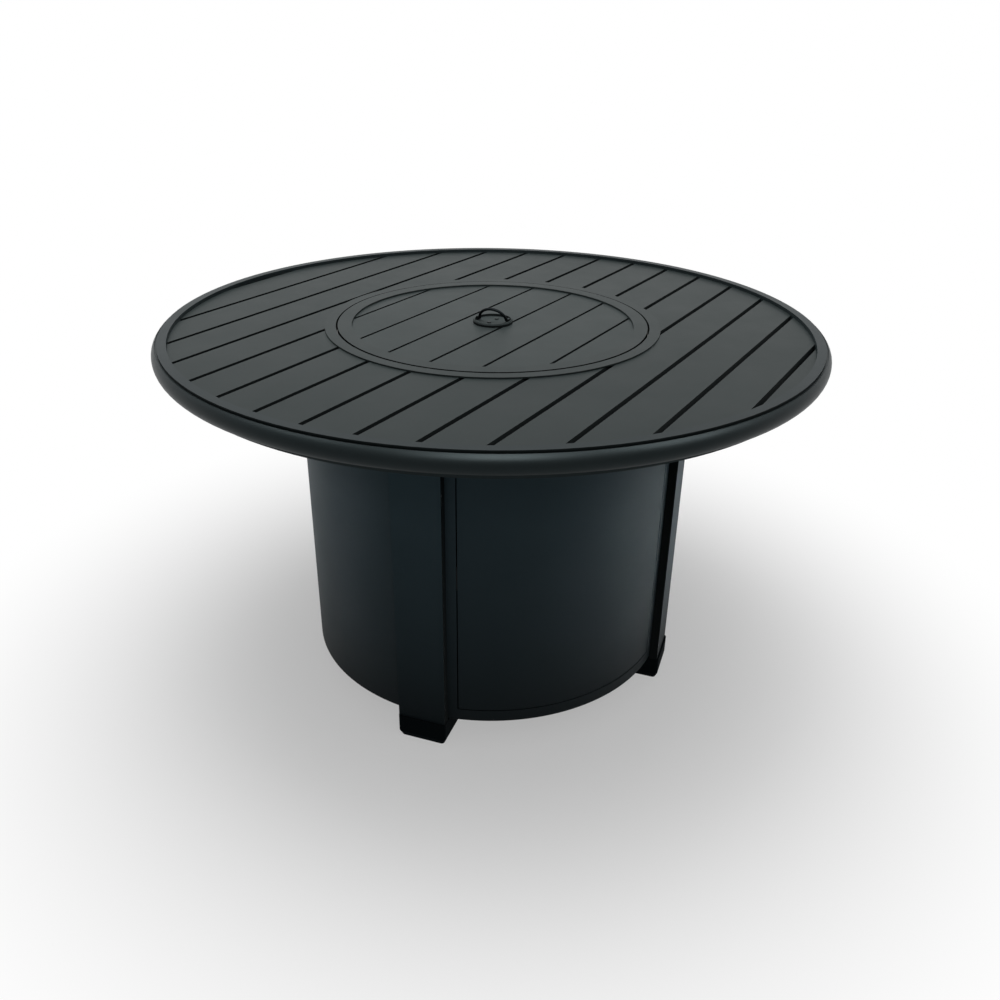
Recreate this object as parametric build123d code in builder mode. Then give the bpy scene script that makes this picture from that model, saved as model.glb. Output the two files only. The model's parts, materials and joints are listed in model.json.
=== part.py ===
from build123d import *
from math import ceil, cos, degrees, radians, sin, sqrt
import os

# Round slat-top gas fire pit table: drum base, slatted deck, burner and lift-off lid
# Millimetres, +Z up, origin on the floor under the table centre, access door facing -Y

# Overall sizes
top_radius = 533.4
base_radius = 317.6
foot_height = 45.0
base_height = 533.0
sheet = 2.0
fit_gap = 0.4
running_gap = 0.06
overrun = 5.0

# Deck: slats on two bars, inside a rolled rim
slat_turn = 33.2
slat_pitch = 76.05
slat_shift = 11.3
least_strip = 15.0
slat_gap = 7.8
slat_thick = 16.0
slat_wall = 2.0
bar_height = 14.0
bar_width = 12.0
bar_inset = 25.6
top_ring_thick = 4.0
top_ring_width = 64.0
top_ring_overhang = 8.4

# Rim section
rim_width = 23.4
lip_rise = 6.0
band_width = 14.0
groove_width = 3.5
groove_depth = 4.5
bull_drop = 3.0
bull_height = 27.5
rim_wall = 3.0
apron_wall = 2.0
apron_depth = 36.0
ledge_width = 20.0
ledge_thick = 4.0

# Burner opening and pan
opening_radius = 254.5
collar_wall = 2.5
collar_flange = 17.5
collar_rise = 2.5
collar_depth = 17.0
collar_ledge = 12.0
pan_depth = 60.0
pan_flange_width = 19.1

# Lid
lid_gap = 3.0
lid_border = 22.5
lid_rise = 3.0
lid_height = 12.0
lid_slat_thick = 6.0
lid_slat_wall = 1.5
lid_slot = 4.8
lid_ledge = 10.0
lid_wall = 2.0
lid_bar_offset = 110.0
lid_bar_width = 15.0
lid_bar_height = 10.0
pad_radius = 10.0
pad_plug_radius = 8.0
pad_thick = 3.5
pad_count = 4

# Lid handle: a shallow dish with a folding bail
dish_radius = 32.5
dish_height = 5.5
dish_edge = 3.0
dish_edge_rise = 2.0
dish_bevel = 2.0
dish_floor = 2.0
bail_radius = 22.5
wire_radius = 2.3
bail_lift = 3.0
bail_lean = 30.0
handle_turn = -43.0
lug_thick = 3.0
lug_width = 7.2
lug_cap = 3.4
handle_screw_radius = 2.0
handle_screw_head_radius = 3.5
handle_screw_head = 1.8
handle_screw_reach = 12.0

# Burner and gas line
burner_radius = 120.0
burner_tube = 16.0
burner_tube_wall = 1.5
feed_tube = 13.0
burner_rise = 27.0
port_count = 36
port_radius = 1.2
hub_radius = 18.0
hub_height = 20.0
nipple_radius = 10.0
nipple_bore = 6.0
nipple_flange_radius = 16.0
nipple_flange = 4.0
nipple_drop = 16.0
gas_tube_radius = 5.0
gas_tube_bore = 3.8
gas_tube_bend = 12.0
electrode_radius = 4.0
electrode_gap = 4.0
electrode_flange_radius = 7.0
electrode_flange = 3.0
electrode_height = 30.0
electrode_drop = 14.0
spark_wire_radius = 1.0
spark_wire_length = 6.0

# Controls behind the door
plate_setback = 46.6
plate_thick = 3.0
plate_width = 150.0
plate_height = 135.0
plate_flange = 24.0
control_drop = 70.0
valve_width = 30.0
valve_height = 32.0
valve_depth = 40.0
stem_radius = 4.0
stem_seat = 14.0
stem_length = 33.0
stem_hole_gap = 0.6
knob_radius = 18.0
knob_depth = 20.0
knob_standoff = 5.0
knob_grip_width = 9.0
knob_grip_height = 6.0
knob_grip_round = 3.0
inlet_radius = 7.9
inlet_length = 22.0
inlet_collar_radius = 11.0
inlet_collar = 6.0
inlet_bore = 4.0
igniter_side = 48.0
igniter_radius = 11.0
igniter_depth = 42.0
igniter_bezel_radius = 14.0
igniter_bezel = 4.0
button_radius = 7.0
button_length = 16.0
button_proud = 6.0
button_travel = 4.0

# Legs and feet
leg_standoff = 12.4
leg_width = 80.0
leg_wall = 3.0
leg_drop = 4.0
foot_width = 82.0
foot_setback = 55.6
foot_proud = 3.0
foot_nose_height = 10.0
foot_taper = 4.0
foot_round = 5.0
foot_bolt_inset = 29.6
foot_bolt_hole = 24.0

# Base panels, door and floor
panel_gap = 1.0
door_side = 15.6
door_band = 20.0
door_gap = 2.0
hinge_back = 12.0
hinge_inset = 9.0
hinge_ear_radius = 7.0
hinge_ear_thick = 3.0
hinge_pin_radius = 3.0
hinge_shoulder = 1.0
hinge_shoulder_radius = 5.5
magnet_height = 40.0
magnet_depth = 10.0
magnet_reach = 14.0
tank_ring_radius = 110.0
tank_ring_height = 15.0
deck_bolt_reach = 70.0

# Frame bolts: the same bolt for the feet and the deck bars
bolt_radius = 4.0
bolt_length = 16.0
bolt_head_radius = 7.0
bolt_head = 5.0
hex_sides = 6

# Radii worked out from the sizes above
lip_radius = top_radius - rim_width
bar_offset = base_radius - bar_inset
top_ring_outer = base_radius + top_ring_overhang
top_ring_inner = top_ring_outer - top_ring_width
pan_flange = opening_radius - fit_gap
pan_wall_radius = pan_flange - pan_flange_width
electrode_reach = burner_radius - burner_tube / 2 - electrode_radius - electrode_gap
plate_front = base_radius - plate_setback
leg_face = base_radius + leg_standoff
foot_inner = base_radius - foot_setback
foot_nose = leg_face + foot_proud
foot_bolt_place = base_radius - foot_bolt_inset

# Heights worked out from the sizes above
base_bottom = foot_height
base_top = base_bottom + base_height
bar_bottom = base_top + top_ring_thick
slat_bottom = bar_bottom + bar_height
slat_top = slat_bottom + slat_thick
band_top = slat_top + lip_rise
collar_top = slat_top + collar_rise
pan_seat = slat_top - collar_depth + collar_wall
pan_rim_top = pan_seat + sheet
pan_floor_bottom = pan_seat - pan_depth
pan_floor_top = pan_floor_bottom + sheet
lid_bottom = pan_rim_top + pad_thick
lid_top = lid_bottom + lid_height
lid_slat_top = lid_top - lid_rise
lid_slat_bottom = lid_slat_top - lid_slat_thick
lid_radius = opening_radius - lid_gap
lid_inner = lid_radius - lid_border
burner_z = pan_floor_top + burner_rise
dish_floor_top = lid_slat_top + dish_floor
pivot_z = dish_floor_top + bail_lift

quarter = 90.0
half_turn = 180.0
full_turn = 360.0
door_facing = -quarter
leg_turns = {"front_right": -45.0, "back_right": 45.0, "back_left": 135.0, "front_left": -135.0}


def arc_degrees(length, radius):
    """The angle that an arc of this length takes up at this radius."""
    return degrees(length / radius)


def upright(turn):
    """A vertical plane through the table's axis: x points outward at this angle and y points up."""
    out = (cos(radians(turn)), sin(radians(turn)), 0)
    side = (sin(radians(turn)), -cos(radians(turn)), 0)
    return Plane(origin=(0, 0, 0), x_dir=out, z_dir=side)


def level(height, turn=0.0):
    """A level plane at this height, with x turned by this angle."""
    return Plane(origin=(0, 0, height), x_dir=(cos(radians(turn)), sin(radians(turn)), 0), z_dir=(0, 0, 1))


def save(part, label):
    """Name a piece and write it to its own file."""
    part.label = label
    export_step(part, f"parts/{label}.step")


def revolved(points):
    """A ring turned from a closed outline of (radius, height) points."""
    with BuildPart() as ring:
        with BuildSketch(Plane.XZ):
            with BuildLine():
                Polyline(*points, close=True)
            make_face()
        revolve(axis=Axis.Z)
    return ring.part


def curved_sheet(outer, thick, bottom, top, start, sweep):
    """A sheet bent round the table's axis, between two heights and two angles."""
    with BuildPart() as bent:
        with BuildSketch(upright(start)):
            with BuildLine():
                Polyline((outer - thick, bottom), (outer, bottom), (outer, top), (outer - thick, top), close=True)
            make_face()
        revolve(axis=Axis.Z, revolution_arc=sweep)
    return bent.part


def slat_numbers(outer, width):
    """The slats, counted from the middle one, that take up more than a sliver of a round panel."""
    reach = ceil(outer / slat_pitch)
    return [number for number in range(-reach, reach + 1)
            if abs(slat_shift + number * slat_pitch) - width / 2 < outer - least_strip]


def slat(number, width, outer, inner, bottom, thick, wall):
    """One folded slat of a round slatted panel, open below, cut to the panel's outer circle and its opening."""
    across = slat_shift + number * slat_pitch
    with BuildPart() as board:
        with BuildSketch(level(bottom, slat_turn)):
            Circle(outer)
            with Locations((0, across)):
                Rectangle(outer + outer, width, mode=Mode.INTERSECT)
            if inner:
                Circle(inner, mode=Mode.SUBTRACT)
        extrude(amount=thick)
        with BuildSketch(level(bottom, slat_turn)):
            Circle(outer - wall)
            with Locations((0, across)):
                Rectangle(outer + outer, width - wall - wall, mode=Mode.INTERSECT)
            if inner:
                Circle(inner + wall, mode=Mode.SUBTRACT)
        extrude(amount=thick - wall, mode=Mode.SUBTRACT)
    return board.part


def cross_bars(offset, width, outer, bottom, height):
    """Two bars across the slats, one on each side of the centre."""
    with BuildPart() as bars:
        with BuildSketch(level(bottom, slat_turn)):
            Circle(outer)
            with Locations((offset, 0), (-offset, 0)):
                Rectangle(width, outer + outer, mode=Mode.INTERSECT)
        extrude(amount=height)
    return bars.part


os.makedirs("parts", exist_ok=True)

# Deck slats, on the rim's ledge
slat_width = slat_pitch - slat_gap
slat_end = lip_radius - fit_gap
slat_opening = opening_radius + collar_wall + fit_gap
for index, number in enumerate(slat_numbers(slat_end, slat_width)):
    board = slat(number, slat_width, slat_end, slat_opening, slat_bottom, slat_thick, slat_wall)
    save(board, f"deck_slat_{index + 1:02d}")

# Rolled rim: ledge, raised band, groove, bullnose and an apron set back below it
groove_in = lip_radius + band_width
groove_out = groove_in + groove_width
groove_z = band_top - groove_depth
bull_top = band_top - bull_drop
bull_bottom = bull_top - bull_height
bull_middle = (bull_top + bull_bottom) / 2
rim_back = groove_out - rim_wall
rim_roof = groove_z - rim_wall
apron_outer = lip_radius + apron_wall
apron_bottom = slat_top - apron_depth
with BuildPart() as top_rim:
    with BuildSketch(Plane.XZ):
        with BuildLine():
            Polyline(
                (lip_radius - ledge_width, slat_bottom),
                (lip_radius, slat_bottom),
                (lip_radius, band_top),
                (groove_in, band_top),
                (groove_in, groove_z),
                (groove_out, groove_z),
                (groove_out, bull_top),
            )
            ThreePointArc((groove_out, bull_top), (top_radius, bull_middle), (groove_out, bull_bottom))
            Line((groove_out, bull_bottom), (rim_back, bull_bottom))
            ThreePointArc((rim_back, bull_bottom), (top_radius - rim_wall, bull_middle), (rim_back, rim_roof))
            Polyline(
                (rim_back, rim_roof),
                (apron_outer, rim_roof),
                (apron_outer, apron_bottom),
                (lip_radius, apron_bottom),
                (lip_radius, slat_bottom - ledge_thick),
                (lip_radius - ledge_width, slat_bottom - ledge_thick),
                (lip_radius - ledge_width, slat_bottom),
            )
        make_face()
    revolve(axis=Axis.Z)
save(top_rim.part, "top_rim")

# Deck bars, bolted down to the base top ring
bar_outer = lip_radius - ledge_width - fit_gap
bolt_holes = [(side * bar_offset, end * deck_bolt_reach) for side in (1, -1) for end in (1, -1)]
with BuildPart() as deck_bars:
    add(cross_bars(bar_offset, bar_width, bar_outer, bar_bottom, bar_height))
    with BuildSketch(level(bar_bottom, slat_turn)):
        with Locations(*bolt_holes):
            Circle(bolt_radius + fit_gap)
    extrude(amount=bolt_length, mode=Mode.SUBTRACT)
save(deck_bars.part, "deck_bars")

with BuildPart() as base_top_ring:
    with BuildSketch(level(base_top, slat_turn)):
        Circle(top_ring_outer)
        Circle(top_ring_inner, mode=Mode.SUBTRACT)
        with Locations(*bolt_holes):
            Circle(bolt_radius + fit_gap, mode=Mode.SUBTRACT)
    extrude(amount=top_ring_thick)
save(base_top_ring.part, "base_top_ring")

# Collar round the burner opening, hung on the slats; its ledge carries the pan
collar_outer = opening_radius + collar_wall
ledge_inner = collar_outer - collar_ledge
collar = revolved([
    (ledge_inner, pan_seat - collar_wall),
    (collar_outer, pan_seat - collar_wall),
    (collar_outer, slat_top),
    (opening_radius + collar_flange, slat_top),
    (opening_radius + collar_flange, collar_top),
    (opening_radius, collar_top),
    (opening_radius, pan_seat),
    (ledge_inner, pan_seat),
])
save(collar, "opening_collar")

# Burner pan
pan_inner = pan_wall_radius - sheet
with BuildPart() as burner_pan:
    add(revolved([
        (nipple_radius + fit_gap, pan_floor_bottom),
        (pan_wall_radius, pan_floor_bottom),
        (pan_wall_radius, pan_seat),
        (pan_flange, pan_seat),
        (pan_flange, pan_rim_top),
        (pan_inner, pan_rim_top),
        (pan_inner, pan_floor_top),
        (nipple_radius + fit_gap, pan_floor_top),
    ]))
    with BuildSketch(level(pan_floor_bottom)):
        with Locations((electrode_reach, 0)):
            Circle(electrode_radius + fit_gap)
    extrude(amount=sheet, mode=Mode.SUBTRACT)
save(burner_pan.part, "burner_pan")

# Burner ring: a hollow ring of square tube, fed through a cross tube and a hub, with ports on top
tube_bore = burner_tube - burner_tube_wall - burner_tube_wall
feed_bore = feed_tube - burner_tube_wall - burner_tube_wall
port_turn = full_turn / port_count
with BuildPart() as burner_ring:
    with BuildSketch(Plane.XZ):
        with Locations((burner_radius, burner_z)):
            Rectangle(burner_tube, burner_tube)
            Rectangle(tube_bore, tube_bore, mode=Mode.SUBTRACT)
    revolve(axis=Axis.Z)
    with BuildSketch(Plane.XZ):
        with Locations((0, burner_z)):
            Rectangle(feed_tube, feed_tube)
    extrude(amount=burner_radius - burner_tube / 2 + burner_tube_wall, both=True)
    with BuildSketch(level(burner_z - hub_height / 2)):
        Circle(hub_radius)
    extrude(amount=hub_height)
    with BuildSketch(Plane.XZ):
        with Locations((0, burner_z)):
            Rectangle(feed_bore, feed_bore)
    extrude(amount=burner_radius, both=True, mode=Mode.SUBTRACT)
    with BuildSketch(level(burner_z - hub_height / 2)):
        Circle(nipple_bore)
    extrude(amount=hub_height / 2, mode=Mode.SUBTRACT)
    with BuildSketch(level(burner_z)):
        with PolarLocations(burner_radius, port_count, start_angle=port_turn / 2):
            Circle(port_radius)
    extrude(amount=burner_tube / 2 + overrun, mode=Mode.SUBTRACT)
save(burner_ring.part, "burner_ring")

# Burner nipple: stands on the pan floor and carries the burner
nipple_bottom = pan_floor_bottom - nipple_drop
hub_bottom = burner_z - hub_height / 2
nipple = revolved([
    (nipple_bore, nipple_bottom),
    (nipple_radius, nipple_bottom),
    (nipple_radius, pan_floor_top),
    (nipple_flange_radius, pan_floor_top),
    (nipple_flange_radius, pan_floor_top + nipple_flange),
    (nipple_radius, pan_floor_top + nipple_flange),
    (nipple_radius, hub_bottom),
    (nipple_bore, hub_bottom),
])
save(nipple, "burner_nipple")

# Spark electrode, through the pan floor beside the burner ring
electrode_top = pan_floor_top + electrode_height
with BuildPart() as electrode:
    with BuildSketch(Plane.XY.offset(pan_floor_bottom - electrode_drop)):
        with Locations((electrode_reach, 0)):
            Circle(electrode_radius)
    extrude(amount=electrode_drop + sheet + electrode_height)
    with BuildSketch(Plane.XY.offset(pan_floor_top)):
        with Locations((electrode_reach, 0)):
            Circle(electrode_flange_radius)
    extrude(amount=electrode_flange)
    with BuildSketch(Plane.XY.offset(electrode_top)):
        with Locations((electrode_reach, 0)):
            Circle(spark_wire_radius)
    extrude(amount=spark_wire_length)
save(electrode.part, "spark_electrode")

# Control plate, hung under the base top ring behind the door
control_z = base_top - control_drop
plate_back = plate_front - plate_thick
control_face = Plane(origin=(0, -plate_front, control_z), x_dir=(1, 0, 0), z_dir=(0, -1, 0))
control_back = Plane(origin=(0, -plate_back, control_z), x_dir=(-1, 0, 0), z_dir=(0, 1, 0))
with BuildPart() as control_plate:
    with BuildSketch(level(base_top - plate_height)):
        with Locations((0, -plate_back - plate_thick / 2)):
            Rectangle(plate_width, plate_thick)
    extrude(amount=plate_height)
    with BuildSketch(level(base_top - plate_thick)):
        with Locations((0, -plate_front - plate_flange / 2)):
            Rectangle(plate_width, plate_flange)
    extrude(amount=plate_thick)
    with BuildSketch(control_face):
        Circle(stem_radius + stem_hole_gap)
        with Locations((igniter_side, 0)):
            Circle(igniter_radius + fit_gap)
    extrude(amount=-plate_thick, mode=Mode.SUBTRACT)
save(control_plate.part, "control_plate")

# Valve body behind the plate, with the bore for its stem
with BuildPart() as valve_body:
    with BuildSketch(control_back):
        Rectangle(valve_width, valve_height)
    extrude(amount=valve_depth)
    with BuildSketch(control_back):
        Circle(stem_radius + running_gap)
    extrude(amount=stem_seat + running_gap, mode=Mode.SUBTRACT)
save(valve_body.part, "valve_body")

stem_back = Plane(origin=(0, stem_seat - plate_back, control_z), x_dir=(1, 0, 0), z_dir=(0, -1, 0))
with BuildPart() as valve_stem:
    with BuildSketch(stem_back):
        Circle(stem_radius)
    extrude(amount=stem_length)
save(valve_stem.part, "valve_stem")

knob_back = Plane(origin=(0, -plate_front - knob_standoff, control_z), x_dir=(1, 0, 0), z_dir=(0, -1, 0))
with BuildPart() as control_knob:
    with BuildSketch(knob_back):
        Circle(knob_radius)
    extrude(amount=knob_depth - knob_grip_height)
    with BuildSketch(knob_back.offset(knob_depth - knob_grip_height)):
        RectangleRounded(knob_grip_width, knob_radius + knob_radius - knob_grip_width, knob_grip_round)
    extrude(amount=knob_grip_height)
    with BuildSketch(knob_back):
        Circle(stem_radius)
    extrude(amount=stem_length - stem_seat - plate_thick - knob_standoff, mode=Mode.SUBTRACT)
save(control_knob.part, "control_knob")

# Gas inlet, under the valve, for the supply hose
inlet_top = control_z - valve_height / 2
inlet_y = valve_depth / 2 - plate_back
with BuildPart() as gas_inlet:
    with BuildSketch(Plane.XY.offset(inlet_top - inlet_collar)):
        with Locations((0, inlet_y)):
            RegularPolygon(inlet_collar_radius, hex_sides)
    extrude(amount=inlet_collar)
    with BuildSketch(Plane.XY.offset(inlet_top - inlet_collar - inlet_length)):
        with Locations((0, inlet_y)):
            Circle(inlet_radius)
    extrude(amount=inlet_length)
    with BuildSketch(Plane.XY.offset(inlet_top - inlet_collar - inlet_length)):
        with Locations((0, inlet_y)):
            Circle(inlet_bore)
    extrude(amount=inlet_length, mode=Mode.SUBTRACT)
save(gas_inlet.part, "gas_inlet")

# Gas tube, from the back of the valve to the burner nipple
tube_start = (0, valve_depth - plate_back, control_z)
with BuildPart() as gas_tube:
    with BuildLine() as tube_route:
        FilletPolyline(tube_start, (0, 0, control_z), (0, 0, nipple_bottom), radius=gas_tube_bend)
    with BuildSketch(Plane(origin=tube_start, x_dir=(1, 0, 0), z_dir=(0, 1, 0))):
        Circle(gas_tube_radius)
        Circle(gas_tube_bore, mode=Mode.SUBTRACT)
    sweep(path=tube_route.wires()[0])
save(gas_tube.part, "gas_tube")

# Igniter: a threaded body through the plate, with a push button
igniter_face = Plane(origin=(igniter_side, -plate_front, control_z), x_dir=(1, 0, 0), z_dir=(0, -1, 0))
button_bore = button_length - button_proud + button_travel + running_gap
with BuildPart() as igniter_body:
    with BuildSketch(igniter_face):
        Circle(igniter_radius)
    extrude(amount=-igniter_depth)
    with BuildSketch(igniter_face):
        Circle(igniter_bezel_radius)
    extrude(amount=igniter_bezel)
    with BuildSketch(igniter_face.offset(igniter_bezel)):
        Circle(button_radius + running_gap)
    extrude(amount=-button_bore, mode=Mode.SUBTRACT)
save(igniter_body.part, "igniter_body")

with BuildPart() as igniter_button:
    with BuildSketch(igniter_face.offset(igniter_bezel + button_proud)):
        Circle(button_radius)
    extrude(amount=-button_length)
save(igniter_button.part, "igniter_button")

# Lid: a raised border, slats in line with the deck, two bars and soft pads
slat_seat = lid_inner - lid_ledge
lid_border_ring = revolved([
    (slat_seat, lid_bottom),
    (lid_inner + lid_wall, lid_bottom),
    (lid_inner + lid_wall, lid_top - lid_wall),
    (lid_radius - lid_wall, lid_top - lid_wall),
    (lid_radius - lid_wall, lid_bottom),
    (lid_radius, lid_bottom),
    (lid_radius, lid_top),
    (lid_inner, lid_top),
    (lid_inner, lid_slat_bottom),
    (slat_seat, lid_slat_bottom),
])
save(lid_border_ring, "lid_border")

lid_slat_width = slat_pitch - lid_slot
lid_slat_end = lid_inner - fit_gap
screw_places = [(handle_screw_reach, 0), (-handle_screw_reach, 0)]
for index, number in enumerate(slat_numbers(lid_slat_end, lid_slat_width)):
    with BuildPart() as lid_slat:
        add(slat(number, lid_slat_width, lid_slat_end, 0, lid_slat_bottom, lid_slat_thick, lid_slat_wall))
        if number == 0:
            with BuildSketch(level(lid_slat_bottom, slat_turn)):
                with Locations(*screw_places):
                    Circle(handle_screw_radius + fit_gap)
            extrude(amount=lid_slat_thick, mode=Mode.SUBTRACT)
    save(lid_slat.part, f"lid_slat_{index + 1}")

lid_bars = cross_bars(lid_bar_offset, lid_bar_width, slat_seat - fit_gap,
                      lid_slat_bottom - lid_bar_height, lid_bar_height)
save(lid_bars, "lid_bars")

pad_reach = (lid_inner + lid_radius) / 2
with BuildPart() as lid_pads:
    with BuildSketch(Plane.XY.offset(pan_rim_top)):
        with PolarLocations(pad_reach, pad_count, start_angle=slat_turn):
            Circle(pad_radius)
    extrude(amount=pad_thick)
    with BuildSketch(Plane.XY.offset(lid_bottom)):
        with PolarLocations(pad_reach, pad_count, start_angle=slat_turn):
            Circle(pad_plug_radius)
    extrude(amount=lid_height - lid_wall)
save(lid_pads.part, "lid_pads")

# Handle dish, with a lug at each end of the bail
lug_inner = bail_radius + wire_radius + fit_gap
lug_top = pivot_z + lug_cap
with BuildPart() as handle_dish:
    add(revolved([
        (0, lid_slat_top),
        (dish_radius, lid_slat_top),
        (dish_radius, lid_slat_top + dish_height - dish_bevel),
        (dish_radius - dish_bevel, lid_slat_top + dish_height),
        (dish_radius - dish_edge, lid_slat_top + dish_height),
        (dish_radius - dish_edge - dish_edge_rise, dish_floor_top),
        (0, dish_floor_top),
    ]))
    with BuildSketch(level(dish_floor_top, handle_turn)):
        with Locations((lug_inner + lug_thick / 2, 0), (-lug_inner - lug_thick / 2, 0)):
            Rectangle(lug_thick, lug_width)
    extrude(amount=lug_top - dish_floor_top)
    with BuildSketch(Plane(origin=(0, 0, pivot_z), x_dir=(0, 0, 1),
                           z_dir=(cos(radians(handle_turn)), sin(radians(handle_turn)), 0))):
        Circle(wire_radius + running_gap)
    extrude(amount=lug_inner + lug_thick, both=True, mode=Mode.SUBTRACT)
    with BuildSketch(level(lid_slat_top, slat_turn)):
        with Locations(*screw_places):
            Circle(handle_screw_radius + fit_gap)
    extrude(amount=dish_floor, mode=Mode.SUBTRACT)
save(handle_dish.part, "handle_dish")

with BuildPart() as handle_screws:
    with BuildSketch(level(lid_slat_bottom, slat_turn)):
        with Locations(*screw_places):
            Circle(handle_screw_radius)
    extrude(amount=lid_slat_thick + dish_floor)
    with BuildSketch(level(dish_floor_top, slat_turn)):
        with Locations(*screw_places):
            Circle(handle_screw_head_radius)
    extrude(amount=handle_screw_head)
save(handle_screws.part, "handle_screws")

# Bail: half a ring of wire, leaning on its pivot line, with a stub into each lug
pivot_dir = Vector(cos(radians(handle_turn)), sin(radians(handle_turn)), 0)
side_dir = Vector(-sin(radians(handle_turn)), cos(radians(handle_turn)), 0)
bail_up = Vector(0, 0, 1) * cos(radians(bail_lean)) - side_dir * sin(radians(bail_lean))
pivot = Vector(0, 0, pivot_z)
bail_normal = pivot_dir.cross(bail_up)
with BuildPart() as handle_bail:
    with BuildSketch(Plane(origin=pivot, x_dir=pivot_dir, z_dir=bail_up)):
        with Locations((bail_radius, 0)):
            Circle(wire_radius)
    revolve(axis=Axis(pivot, bail_normal), revolution_arc=half_turn)
    with BuildSketch(Plane(origin=pivot + pivot_dir * bail_radius, x_dir=bail_up, z_dir=pivot_dir)):
        Circle(wire_radius)
    extrude(amount=lug_inner + lug_thick - bail_radius)
    with BuildSketch(Plane(origin=pivot - pivot_dir * bail_radius, x_dir=bail_up, z_dir=-pivot_dir)):
        Circle(wire_radius)
    extrude(amount=lug_inner + lug_thick - bail_radius)
save(handle_bail.part, "handle_bail")

# Legs: flat straps with folded sides, over the joints between the base panels
flange_end = sqrt(base_radius**2 - (leg_width / 2 - leg_wall) ** 2) + fit_gap
leg_bottom = base_bottom - leg_drop
for place, turn in leg_turns.items():
    with BuildPart() as leg:
        with BuildSketch(level(leg_bottom, turn)):
            with Locations(((flange_end + leg_face) / 2, 0)):
                Rectangle(leg_face - flange_end, leg_width)
            with Locations(((flange_end + leg_face - leg_wall) / 2, 0)):
                Rectangle(leg_face - leg_wall - flange_end, leg_width - leg_wall - leg_wall, mode=Mode.SUBTRACT)
        extrude(amount=base_top - leg_bottom)
    save(leg.part, f"leg_{place}")

# Feet: moulded blocks under the floor, with a nose under each leg, drawn in below it on every side
foot_step = flange_end - sheet - fit_gap
foot_length = foot_nose - foot_inner
foot_middle = (foot_nose + foot_inner) / 2
for place, turn in leg_turns.items():
    with BuildPart() as foot:
        with BuildSketch(level(foot_nose_height, turn)):
            with Locations((foot_middle, 0)):
                RectangleRounded(foot_length, foot_width, foot_round)
        extrude(amount=leg_bottom - foot_nose_height)
        with BuildSketch(level(leg_bottom, turn)):
            with Locations(((foot_inner + foot_step) / 2, 0)):
                RectangleRounded(foot_step - foot_inner, foot_width, foot_round)
        extrude(amount=base_bottom - leg_bottom)
        with BuildSketch(level(foot_nose_height, turn)):
            with Locations((foot_middle, 0)):
                RectangleRounded(foot_length, foot_width, foot_round)
        with BuildSketch(level(0, turn)):
            with Locations((foot_middle, 0)):
                RectangleRounded(foot_length - foot_taper - foot_taper,
                                 foot_width - foot_taper - foot_taper, foot_round)
        loft()
        with BuildSketch(level(base_bottom, turn)):
            with Locations((foot_bolt_place, 0)):
                Circle(bolt_radius + fit_gap)
        extrude(amount=-foot_bolt_hole, mode=Mode.SUBTRACT)
    save(foot.part, f"foot_{place}")

# Base floor, with the ring that keeps the gas tank in place
floor_radius = base_radius - sheet - fit_gap
floor_top = base_bottom + sheet
leg_spots = [(foot_bolt_place * cos(radians(turn)), foot_bolt_place * sin(radians(turn)))
             for turn in leg_turns.values()]
with BuildPart() as base_floor:
    with BuildSketch(Plane.XY.offset(base_bottom)):
        Circle(floor_radius)
        with Locations(*leg_spots):
            Circle(bolt_radius + fit_gap, mode=Mode.SUBTRACT)
    extrude(amount=sheet)
    with BuildSketch(Plane.XY.offset(floor_top)):
        Circle(tank_ring_radius)
        Circle(tank_ring_radius - sheet, mode=Mode.SUBTRACT)
    extrude(amount=tank_ring_height)
save(base_floor.part, "base_floor")

# Frame bolts: up through the top ring into the deck bars, and down through the floor into the feet
with BuildPart() as frame_bolts:
    with BuildSketch(level(base_top - bolt_head, slat_turn)):
        with Locations(*bolt_holes):
            RegularPolygon(bolt_head_radius, hex_sides)
    extrude(amount=bolt_head)
    with BuildSketch(level(base_top, slat_turn)):
        with Locations(*bolt_holes):
            Circle(bolt_radius)
    extrude(amount=bolt_length)
    with BuildSketch(Plane.XY.offset(floor_top)):
        with Locations(*leg_spots):
            RegularPolygon(bolt_head_radius, hex_sides)
    extrude(amount=bolt_head)
    with BuildSketch(Plane.XY.offset(floor_top)):
        with Locations(*leg_spots):
            Circle(bolt_radius)
    extrude(amount=-bolt_length)
save(frame_bolts.part, "frame_bolts")

# Base panels, one between each pair of legs
gap_turn = arc_degrees(panel_gap, base_radius)
panel_sweep = quarter - gap_turn
panel_legs = {"right": "front_right", "back": "back_right", "left": "back_left"}
for place, leg_place in panel_legs.items():
    start = leg_turns[leg_place] + gap_turn / 2
    panel = curved_sheet(base_radius, sheet, base_bottom, base_top, start, panel_sweep)
    save(panel, f"panel_{place}")

# Door frame panel and access door, with hinge ears behind the door's right edge
leg_half_turn = arc_degrees(leg_width / 2 + door_side, base_radius)
opening_sweep = quarter - leg_half_turn - leg_half_turn
opening_start = door_facing - opening_sweep / 2
frame_start = leg_turns["front_left"] + gap_turn / 2
opening_bottom = base_bottom + door_band
opening_top = base_top - door_band
door_gap_turn = arc_degrees(door_gap, base_radius)
door_bottom = opening_bottom + door_gap
door_top = opening_top - door_gap
hinge_turn = opening_start + opening_sweep - door_gap_turn - arc_degrees(hinge_back, base_radius)
hinge_reach = base_radius - hinge_inset
ear_reach = hinge_inset - sheet / 2
lower_bracket = door_bottom - hinge_shoulder - hinge_ear_thick
upper_bracket = door_top + hinge_shoulder


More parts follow.
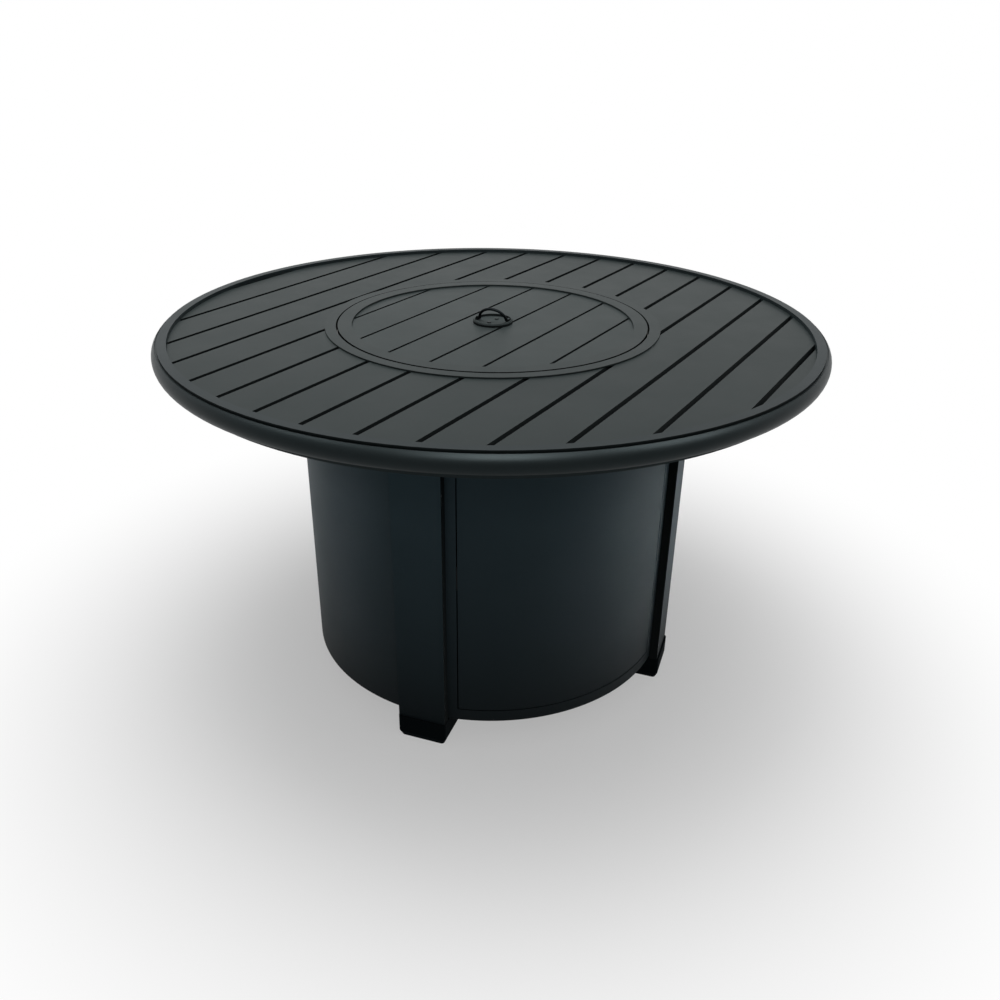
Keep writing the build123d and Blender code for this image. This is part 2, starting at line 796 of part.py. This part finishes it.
def hinge_ear(bottom):
    """A flat ear from the sheet's inner face to the hinge line, with the pin hole."""
    with BuildPart() as ear:
        with BuildSketch(level(bottom, hinge_turn)):
            with Locations((hinge_reach, 0)):
                Circle(hinge_ear_radius)
            with Locations((hinge_reach + ear_reach / 2, 0)):
                Rectangle(ear_reach, hinge_ear_radius + hinge_ear_radius)
            with Locations((hinge_reach, 0)):
                Circle(hinge_pin_radius + running_gap, mode=Mode.SUBTRACT)
            Circle(base_radius - sheet / 2, mode=Mode.INTERSECT)
        extrude(amount=hinge_ear_thick)
    return ear.part


with BuildPart() as door_frame:
    add(curved_sheet(base_radius, sheet, base_bottom, base_top, frame_start, panel_sweep))
    add(curved_sheet(base_radius + overrun, sheet + overrun + overrun, opening_bottom, opening_top,
                     opening_start, opening_sweep), mode=Mode.SUBTRACT)
    add(hinge_ear(lower_bracket))
    add(hinge_ear(upper_bracket))
save(door_frame.part, "door_frame")

with BuildPart() as access_door:
    add(curved_sheet(base_radius, sheet, door_bottom, door_top, opening_start + door_gap_turn,
                     opening_sweep - door_gap_turn - door_gap_turn))
    add(hinge_ear(door_bottom))
    add(hinge_ear(door_top - hinge_ear_thick))
save(access_door.part, "access_door")

with BuildPart() as hinge_pins:
    with BuildSketch(level(lower_bracket, hinge_turn)):
        with Locations((hinge_reach, 0)):
            Circle(hinge_pin_radius)
    extrude(amount=hinge_ear_thick + hinge_shoulder + hinge_ear_thick)
    with BuildSketch(level(door_bottom - hinge_shoulder, hinge_turn)):
        with Locations((hinge_reach, 0)):
            Circle(hinge_shoulder_radius)
    extrude(amount=hinge_shoulder)
    with BuildSketch(level(door_top - hinge_ear_thick, hinge_turn)):
        with Locations((hinge_reach, 0)):
            Circle(hinge_pin_radius)
    extrude(amount=hinge_ear_thick + hinge_shoulder + hinge_ear_thick)
    with BuildSketch(level(upper_bracket + hinge_ear_thick, hinge_turn)):
        with Locations((hinge_reach, 0)):
            Circle(hinge_shoulder_radius)
    extrude(amount=hinge_shoulder)
save(hinge_pins.part, "hinge_pins")

# Magnet catch, behind the door's free edge
magnet_turn = arc_degrees(magnet_reach, base_radius)
magnet_bottom = (door_bottom + door_top - magnet_height) / 2
door_magnet = curved_sheet(base_radius - sheet - fit_gap, magnet_depth, magnet_bottom, magnet_bottom + magnet_height,
                           opening_start - magnet_turn, magnet_turn + magnet_turn)
save(door_magnet, "door_magnet")
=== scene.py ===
"""Looks for the round slat-top fire pit table: finishes, studio light and the photo's camera.

Metres, in the CAD frame: +Z up, origin on the floor under the table centre, access door facing -Y.
"""
import json
import math

import bpy
from mathutils import Matrix, Vector


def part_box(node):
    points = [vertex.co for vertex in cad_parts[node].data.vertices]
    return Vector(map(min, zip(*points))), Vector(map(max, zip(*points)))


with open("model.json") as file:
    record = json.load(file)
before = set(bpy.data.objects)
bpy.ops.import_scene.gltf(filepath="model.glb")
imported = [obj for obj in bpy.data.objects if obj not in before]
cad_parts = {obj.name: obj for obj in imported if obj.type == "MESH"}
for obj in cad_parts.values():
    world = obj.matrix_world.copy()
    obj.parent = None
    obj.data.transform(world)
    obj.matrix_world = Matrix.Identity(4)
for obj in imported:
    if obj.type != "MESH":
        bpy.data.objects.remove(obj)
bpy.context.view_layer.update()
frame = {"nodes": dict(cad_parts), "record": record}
nodes = frame["nodes"]
deck_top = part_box("deck_slat_08")[1][2]

# The photo's camera, fitted to the round edges and the slots of the table top: angles in degrees, lens and
# sensor in millimetres. The level tilt turns a camera from straight down to straight ahead
CAMERA_TURN = -25.7
CAMERA_REACH = 1.4986
CAMERA_ABOVE_DECK = 0.4463
CAMERA_PITCH = 27.342
CAMERA_YAW = -0.609
CAMERA_ROLL = 0.851
CAMERA_LENS = 33.70
CAMERA_SENSOR = 36.0
LEVEL_TILT = 90.0

# Noise textures: features per metre, layers of detail and the weight of each finer layer
COAT_SPECKLE = {"scale": 900.0, "detail": 2.0}
COAT_DRIFT = {"scale": 6.0, "detail": 4.0}
COAT_GLOSS_DRIFT = {"scale": 14.0, "detail": 5.0, "weight": 0.6}
METAL_GRAIN = {"scale": 1.0}
MOULD_SPECKLE = {"scale": 1400.0, "detail": 2.0}
MOULD_TONE = {"scale": 40.0}
FLOOR_MOTTLE = {"scale": 1.5}

# The part of a noise over which a tone runs from low to high, and how far a roughness strays with its noise
TONE_SPAN = (0.3, 0.7)
COAT_ROUGH_STRAY = (-0.05, 0.07)
METAL_ROUGH_STRAY = (-0.08, 0.10)
MOULD_ROUGH_STRAY = (-0.06, 0.06)

# Depths of relief: orange peel on the coats, drawn lines on metal and the grain of mouldings, all at full
# strength
FULL_STRENGTH = 1.0
COAT_RELIEF = 0.00002
METAL_RELIEF = 0.00002
MOULD_RELIEF = 0.00001

# How much of a powder coat's tone is its fine speckle, the rest being slow drift, and the cool tint of
# its gloss
SPECKLE_SHARE = 0.4
COAT_GLOSS_TINT = (0.80, 0.97, 1.0, 1.0)

# How squarely a face looks up or out where the painted shade on side walls goes from full to none, and the
# share of its tone left under that shade. The pressed dish has sloping walls, so only its flatter faces keep
# full tone
SIDE_SPAN = (0.3, 0.8)
DISH_SPAN = (0.55, 0.9)
SIDE_SHADE_SHARE = 0.06

# The rim's groove and the gap round the lid: two distances from the table's axis, and the share of the coat's
# tone left on the walls between them, where shade is painted in
RIM_GROOVE_SHADE = (0.5236, 0.5278, 0.4)
LID_GAP_SHADE = (0.2495, 0.2565, 0.06)
GROOVE_FADE = 0.0004

# Painted shade towards the floor: heights between which the base's coat goes from a dark share of its tone to
# full
LOW_SHADE_REACH = (0.05, 0.40)
LOW_SHADE_SHARE = 0.12

# Studio: the floor goes over to white between two distances from the centre, and the sky is a soft fill
FLOOR_RADIUS = 60.0
FLOOR_SIDES = 64
FLOOR_TONES = ((0.60, 0.60, 0.60), (0.63, 0.63, 0.63))
FLOOR_ROUGH = 0.9
WHITE_REACH = (0.30, 1.10)
WHITE_SHARES = (0.4, 1.0)
WHITE = (1, 1, 1, 1)
SKY_LIGHT = 0.16
SEEN_SKY_LIGHT = 1.0

# Softboxes: place, aim, width and height, and watts. The glints show in gloss alone, and a grid keeps the
# beams of the drum's two under the rim. Spreads are in degrees
OPEN_SPREAD = 180.0
GRID_SPREAD = 6.0
DRUM_MIDDLE = 0.27
DRUM_BOX = (1.4, 0.36)
DRUM_GLINTS = {
    "right_glint": ((2.1, -1.0, DRUM_MIDDLE), (0.0, -0.1, DRUM_MIDDLE), DRUM_BOX, 4.0),
    "left_glint": ((-1.8, 1.2, DRUM_MIDDLE), (0.0, 0.0, DRUM_MIDDLE), DRUM_BOX, 1.4),
}
RIM_GLINTS = {
    "rim_glint": ((-0.85, -1.85, 2.1), (-0.23, -0.48, deck_top), (1.2, 1.4), 140),
    "rim_left_glint": ((-1.9, 0.1, 2.3), (-0.46, -0.26, deck_top), (1.2, 1.0), 35),
    "rim_right_glint": ((1.15, -1.8, 2.1), (0.06, -0.53, deck_top), (1.2, 1.4), 80),
}
TOP_LIGHT = ((-0.1, 0.2, 2.3), (0, 0, deck_top), (1.3, 1.3), 27)

# The run of a plain factor, the same run turned round, a coordinate's level axes, and the rows of a matrix
# that turns and moves
UNIT = (0.0, 1.0)
FALLING = (1.0, 0.0)
LEVEL_AXES = (1, 1, 0)
MATRIX_SIZE = 4


def shader_tree(name):
    """A new node material, with its tree, its shader and a coordinate that follows the object's own space."""
    material = bpy.data.materials.new(name)
    material.use_nodes = True
    tree = material.node_tree
    shader = tree.nodes["Principled BSDF"]
    place = tree.nodes.new("ShaderNodeTexCoord")
    return material, tree, shader, place.outputs["Object"]


def fed(tree, kind, operation, *sources):
    """A math node that works on these sources, each a socket or a plain value."""
    node = tree.nodes.new(kind)
    node.operation = operation
    for entry, source in zip(node.inputs, sources):
        if isinstance(source, bpy.types.NodeSocket):
            tree.links.new(source, entry)
        else:
            entry.default_value = source
    return node


def number(tree, operation, *sources):
    """The number that an operation makes of other numbers."""
    return fed(tree, "ShaderNodeMath", operation, *sources).outputs["Value"]


def vector_number(tree, operation, *sources):
    """The number that an operation makes of vectors."""
    return fed(tree, "ShaderNodeVectorMath", operation, *sources).outputs["Value"]


def vector(tree, operation, *sources):
    """The vector that an operation makes of other vectors."""
    return fed(tree, "ShaderNodeVectorMath", operation, *sources).outputs["Vector"]


def height_of(tree, direction):
    """The upward part of a direction or coordinate."""
    split = tree.nodes.new("ShaderNodeSeparateXYZ")
    tree.links.new(direction, split.inputs["Vector"])
    return split.outputs["Z"]


def level_part(tree, place):
    """The coordinate with its height taken out."""
    return vector(tree, "MULTIPLY", place, LEVEL_AXES)


def ranged(tree, value, source, target):
    """A value carried over from one range to another, and held at its ends."""
    node = tree.nodes.new("ShaderNodeMapRange")
    for socket, limit in zip(("From Min", "From Max", "To Min", "To Max"), (*source, *target)):
        node.inputs[socket].default_value = limit
    tree.links.new(value, node.inputs["Value"])
    return node.outputs["Result"]


def noise(tree, place, scale, detail=3.0, weight=0.5):
    """A noise texture of this many features per metre."""
    node = tree.nodes.new("ShaderNodeTexNoise")
    node.inputs["Scale"].default_value = scale
    node.inputs["Detail"].default_value = detail
    node.inputs["Roughness"].default_value = weight
    tree.links.new(place, node.inputs["Vector"])
    return node.outputs["Fac"]


def stretched(tree, place, along):
    """The coordinate scaled by a different amount on each axis, for drawn and brushed grain."""
    node = tree.nodes.new("ShaderNodeMapping")
    node.inputs["Scale"].default_value = along
    tree.links.new(place, node.inputs["Vector"])
    return node.outputs["Vector"]


def colour_between(tree, factor, low, high):
    """A colour that runs from low to high as the factor crosses the tone span."""
    ramp = tree.nodes.new("ShaderNodeValToRGB")
    for stop, place, colour in zip(ramp.color_ramp.elements, TONE_SPAN, (low, high)):
        stop.position = place
        stop.color = (*colour, 1)
    tree.links.new(factor, ramp.inputs["Fac"])
    return ramp.outputs["Color"]


def scaled_colour(tree, colour, share):
    """The colour times a share that varies over the surface."""
    node = fed(tree, "ShaderNodeVectorMath", "SCALE", colour)
    tree.links.new(share, node.inputs["Scale"])
    return node.outputs["Vector"]


def roughness_about(tree, middle, stray, texture):
    """A roughness that strays about its middle with a texture."""
    return ranged(tree, texture, UNIT, (middle + stray[0], middle + stray[1]))


def bump(tree, shader, height, depth):
    """Relief of this depth in metres."""
    node = tree.nodes.new("ShaderNodeBump")
    node.inputs["Strength"].default_value = FULL_STRENGTH
    node.inputs["Distance"].default_value = depth
    tree.links.new(height, node.inputs["Height"])
    tree.links.new(node.outputs["Normal"], shader.inputs["Normal"])


def upright_share(tree, place, span=SIDE_SPAN):
    """A factor that goes from 1 on upright faces to 0 on faces that look up."""
    return ranged(tree, height_of(tree, place.node.outputs["Normal"]), span, FALLING)


def dish_wall_share(tree, place):
    """A factor of 1 on the dish's upright and sloping walls and 0 on its level faces."""
    return upright_share(tree, place, DISH_SPAN)


def return_share(tree, place):
    """A factor that goes from 1 on faces that look along the drum to 0 on faces that look out or in."""
    outward = vector(tree, "NORMALIZE", level_part(tree, place))
    squareness = vector_number(tree, "DOT_PRODUCT", outward, place.node.outputs["Normal"])
    return ranged(tree, number(tree, "ABSOLUTE", squareness), SIDE_SPAN, FALLING)


def painted_groove_shade(tree, place, colour, groove):
    """The colour, cut down on the walls of a round groove or gap: painted shade in the recess."""
    start, end, share = groove
    reach = vector_number(tree, "LENGTH", level_part(tree, place))
    past_start = ranged(tree, reach, (start - GROOVE_FADE, start), UNIT)
    before_end = ranged(tree, reach, (end, end + GROOVE_FADE), FALLING)
    inside = number(tree, "MINIMUM", past_start, before_end)
    wall = number(tree, "MULTIPLY", inside, upright_share(tree, place))
    return scaled_colour(tree, colour, ranged(tree, wall, UNIT, (1.0, share)))


def painted_low_shade(tree, place, colour):
    """The colour, darkened towards the floor as painted shade."""
    share = ranged(tree, height_of(tree, place), LOW_SHADE_REACH, (LOW_SHADE_SHARE, 1.0))
    return scaled_colour(tree, colour, share)


def powder_coat(name, low, high, rough, specular, side_shade=None, groove=None, low_shade=False):
    """Satin powder coat: a fine orange-peel grain, with slow drifts of tone and gloss.

    Where the side-shade factor over the surface is 1, the coat is darkened there as painted shade and made
    dull.
    """
    material, tree, shader, place = shader_tree(name)
    speckle = noise(tree, place, **COAT_SPECKLE)
    blend = tree.nodes.new("ShaderNodeMix")
    blend.inputs["Factor"].default_value = SPECKLE_SHARE
    tree.links.new(noise(tree, place, **COAT_DRIFT), blend.inputs["A"])
    tree.links.new(speckle, blend.inputs["B"])
    colour = colour_between(tree, blend.outputs["Result"], low, high)
    roughness = roughness_about(tree, rough, COAT_ROUGH_STRAY, noise(tree, place, **COAT_GLOSS_DRIFT))
    # Painted shade on side walls: the slots' walls, the dish's walls and the legs' returns
    if side_shade:
        factor = side_shade(tree, place)
        colour = scaled_colour(tree, colour, ranged(tree, factor, UNIT, (1.0, SIDE_SHADE_SHARE)))
        roughness = number(tree, "MAXIMUM", roughness, factor)
    # Painted shade on the walls of the rim's groove and the gap round the lid
    if groove:
        colour = painted_groove_shade(tree, place, colour, groove)
    # Painted shade that darkens the base and legs towards the floor
    if low_shade:
        colour = painted_low_shade(tree, place, colour)
    tree.links.new(colour, shader.inputs["Base Color"])
    tree.links.new(roughness, shader.inputs["Roughness"])
    bump(tree, shader, speckle, COAT_RELIEF)
    shader.inputs["Specular IOR Level"].default_value = specular
    shader.inputs["Specular Tint"].default_value = COAT_GLOSS_TINT
    return material


def bare_metal(name, low, high, rough, grain):
    """Bare metal with a drawn or brushed grain, given as features per metre on each axis."""
    material, tree, shader, place = shader_tree(name)
    lines = noise(tree, stretched(tree, place, grain), **METAL_GRAIN)
    tree.links.new(colour_between(tree, lines, low, high), shader.inputs["Base Color"])
    tree.links.new(roughness_about(tree, rough, METAL_ROUGH_STRAY, lines), shader.inputs["Roughness"])
    bump(tree, shader, lines, METAL_RELIEF)
    shader.inputs["Metallic"].default_value = 1.0
    return material


def moulding(name, low, high, rough, specular):
    """Moulded plastic, rubber or glazed insulator with a fine grain."""
    material, tree, shader, place = shader_tree(name)
    speckle = noise(tree, place, **MOULD_SPECKLE)
    colour = colour_between(tree, noise(tree, place, **MOULD_TONE), low, high)
    tree.links.new(colour, shader.inputs["Base Color"])
    tree.links.new(roughness_about(tree, rough, MOULD_ROUGH_STRAY, speckle), shader.inputs["Roughness"])
    bump(tree, shader, speckle, MOULD_RELIEF)
    shader.inputs["Specular IOR Level"].default_value = specular
    return material


# Tones and gloss that several coats share
deck_tones = {"low": (0.028, 0.035, 0.035), "high": (0.035, 0.043, 0.043)}
top_gloss = {"rough": 0.42, "specular": 0.06}

# Entries for side walls, grooves and low parts paint shade into a coat's tone
coats = {
    "deck": {**deck_tones, **top_gloss},
    "slat": {"low": (0.025, 0.032, 0.032), "high": (0.032, 0.040, 0.040), **top_gloss,
             "side_shade": upright_share},
    "lid": {"low": (0.030, 0.038, 0.038), "high": (0.038, 0.047, 0.047), **top_gloss,
            "side_shade": upright_share},
    "ring": {**deck_tones, **top_gloss, "groove": LID_GAP_SHADE},
    "dish": {"low": (0.038, 0.047, 0.047), "high": (0.044, 0.053, 0.053), "rough": 0.6, "specular": 0.06,
             "side_shade": dish_wall_share},
    "rim": {"low": (0.018, 0.025, 0.027), "high": (0.024, 0.032, 0.034), "rough": 0.38, "specular": 0.075,
            "groove": RIM_GROOVE_SHADE},
    "base": {"low": (0.022, 0.038, 0.047), "high": (0.028, 0.045, 0.055), "rough": 0.55, "specular": 0.07,
             "low_shade": True},
    "leg": {"low": (0.027, 0.046, 0.057), "high": (0.033, 0.055, 0.067), "rough": 0.55, "specular": 0.05,
            "side_shade": return_share, "low_shade": True},
    "frame": {"low": (0.012, 0.012, 0.013), "high": (0.016, 0.016, 0.017), "rough": 0.6, "specular": 0.1},
}
handle_coat = {"low": (0.002, 0.003, 0.004), "high": (0.004, 0.005, 0.006), "rough": 0.45, "specular": 0.05}
metals = {
    "burner_steel": {"low": (0.50, 0.49, 0.47), "high": (0.62, 0.61, 0.59), "rough": 0.32,
                     "grain": (20.0, 20.0, 900.0)},
    "pan_steel": {"low": (0.20, 0.20, 0.19), "high": (0.28, 0.27, 0.26), "rough": 0.45,
                  "grain": (12.0, 12.0, 500.0)},
    "fastener_steel": {"low": (0.45, 0.45, 0.45), "high": (0.56, 0.56, 0.55), "rough": 0.35,
                       "grain": (300.0, 300.0, 900.0)},
    "gas_brass": {"low": (0.60, 0.44, 0.18), "high": (0.70, 0.54, 0.26), "rough": 0.3,
                  "grain": (200.0, 900.0, 200.0)},
    "tube_aluminium": {"low": (0.70, 0.70, 0.71), "high": (0.80, 0.80, 0.81), "rough": 0.3,
                       "grain": (600.0, 20.0, 600.0)},
}
mouldings = {
    "foot_moulding": {"low": (0.002, 0.004, 0.005), "high": (0.003, 0.005, 0.006),
                      "rough": 0.7, "specular": 0.01},
    "control_plastic": {"low": (0.010, 0.010, 0.010), "high": (0.014, 0.014, 0.014),
                        "rough": 0.45, "specular": 0.3},
    "pad_rubber": {"low": (0.012, 0.012, 0.012), "high": (0.018, 0.018, 0.018),
                   "rough": 0.75, "specular": 0.2},
    "electrode_ceramic": {"low": (0.76, 0.74, 0.68), "high": (0.82, 0.80, 0.75),
                          "rough": 0.25, "specular": 0.5},
    "magnet_plastic": {"low": (0.008, 0.008, 0.008), "high": (0.012, 0.012, 0.012),
                       "rough": 0.6, "specular": 0.1},
}
finishes = {f"{name}_coat": powder_coat(f"{name}_powder_coat", **look) for name, look in coats.items()}
finishes["handle_metal"] = powder_coat("handle_metal", **handle_coat)
finishes |= {name: bare_metal(name, **look) for name, look in metals.items()}
finishes |= {name: moulding(name, **look) for name, look in mouldings.items()}

# Nodes that look other than the rest of their material slot, by the start of their names
own_finishes = {
    "top_rim": "rim_coat",
    "opening_collar": "ring_coat",
    "lid_border": "ring_coat",
    "deck_slat": "slat_coat",
    "lid_slat": "lid_coat",
    "handle_dish": "dish_coat",
    "handle_screws": "deck_coat",
    "leg_": "leg_coat",
    "burner_pan": "pan_steel",
}


def finish_for(node, slot):
    """The finish of a node: its own, or else its slot's."""
    own = [finish for start, finish in own_finishes.items() if node.startswith(start)]
    return finishes[own[0] if own else slot]


for row in frame["record"]["subparts"]:
    mesh = nodes[row["node"]].data
    mesh.materials.clear()
    mesh.materials.append(finish_for(row["node"], row["material_slot"]))


def turned(degrees, axis):
    """A turn about an axis, as a matrix that can be joined with moves."""
    return Matrix.Rotation(math.radians(degrees), MATRIX_SIZE, axis)


def camera():
    """The photo's camera, placed from the fitted distance, height and angles."""
    data = bpy.data.cameras.new("photo_camera")
    data.lens = CAMERA_LENS
    data.sensor_width = CAMERA_SENSOR
    eye = bpy.data.objects.new("photo_camera", data)
    turn = math.radians(CAMERA_TURN)
    height = deck_top + CAMERA_ABOVE_DECK
    place = Vector((CAMERA_REACH * math.sin(turn), -CAMERA_REACH * math.cos(turn), height))
    heading = turned(CAMERA_TURN + CAMERA_YAW, "Z")
    tilt = turned(LEVEL_TILT - CAMERA_PITCH, "X")
    eye.matrix_world = Matrix.Translation(place) @ heading @ tilt @ turned(CAMERA_ROLL, "Z")
    bpy.context.scene.collection.objects.link(eye)
    bpy.context.scene.camera = eye


def softbox(name, place, aim, size, power, glint=False, spread=OPEN_SPREAD):
    """A rectangular studio light, aimed at a point, with its beam held to this spread.

    A glint shows in gloss alone and adds no other light.
    """
    data = bpy.data.lights.new(name, "AREA")
    data.shape = "RECTANGLE"
    data.size, data.size_y = size
    data.energy = power
    data.spread = math.radians(spread)
    lamp = bpy.data.objects.new(name, data)
    lamp.location = place
    lamp.rotation_euler = (Vector(aim) - Vector(place)).to_track_quat("-Z", "Y").to_euler()
    bpy.context.scene.collection.objects.link(lamp)
    lamp.visible_diffuse = not glint
    lamp.visible_camera = not glint


def seen_rays(tree):
    """A factor of 1 for the rays that look at the stage: from the camera, or by way of gloss or glass."""
    path = tree.nodes.new("ShaderNodeLightPath")
    factor = path.outputs["Is Camera Ray"]
    for kind in ("Is Glossy Ray", "Is Transmission Ray"):
        factor = number(tree, "MAXIMUM", factor, path.outputs[kind])
    return factor


def mixed_shader(tree, factor, first, second):
    """One shader going over to another as the factor goes from 0 to 1."""
    mix = tree.nodes.new("ShaderNodeMixShader")
    for entry, source in zip(mix.inputs, (factor, first, second)):
        tree.links.new(source, entry)
    return mix.outputs["Shader"]


def floor():
    """A wide pale floor: it takes the object's shadow close by, and goes over to plain white further out."""
    mesh = bpy.data.meshes.new("floor")
    turns = [math.tau * step / FLOOR_SIDES for step in range(FLOOR_SIDES)]
    edge = [(FLOOR_RADIUS * math.cos(turn), FLOOR_RADIUS * math.sin(turn), 0) for turn in turns]
    mesh.from_pydata(edge, [], [tuple(range(FLOOR_SIDES))])
    ground = bpy.data.objects.new("floor", mesh)
    bpy.context.scene.collection.objects.link(ground)
    material, tree, shader, place = shader_tree("floor_paper")
    tint = colour_between(tree, noise(tree, place, **FLOOR_MOTTLE), *FLOOR_TONES)
    tree.links.new(tint, shader.inputs["Base Color"])
    shader.inputs["Roughness"].default_value = FLOOR_ROUGH
    white = tree.nodes.new("ShaderNodeEmission")
    fade = ranged(tree, vector_number(tree, "LENGTH", place), WHITE_REACH, WHITE_SHARES)
    fade.node.interpolation_type = "SMOOTHSTEP"
    share = number(tree, "MULTIPLY", fade, seen_rays(tree))
    surface = mixed_shader(tree, share, shader.outputs["BSDF"], white.outputs["Emission"])
    tree.links.new(surface, tree.nodes["Material Output"].inputs["Surface"])
    mesh.materials.append(material)


def sky():
    """A plain pale world: white where it is seen, softer as light."""
    world = bpy.data.worlds.new("studio")
    bpy.context.scene.world = world
    world.use_nodes = True
    tree = world.node_tree
    light = tree.nodes["Background"]
    seen = tree.nodes.new("ShaderNodeBackground")
    for background, strength in ((light, SKY_LIGHT), (seen, SEEN_SKY_LIGHT)):
        background.inputs["Color"].default_value = WHITE
        background.inputs["Strength"].default_value = strength
    surface = mixed_shader(tree, seen_rays(tree), light.outputs["Background"], seen.outputs["Background"])
    tree.links.new(surface, tree.nodes["World Output"].inputs["Surface"])


camera()
floor()
sky()
softbox("top_light", *TOP_LIGHT)
for name, lamp in DRUM_GLINTS.items():
    softbox(name, *lamp, glint=True, spread=GRID_SPREAD)
for name, lamp in RIM_GLINTS.items():
    softbox(name, *lamp, glint=True)
bpy.context.scene.view_settings.view_transform = "Standard"
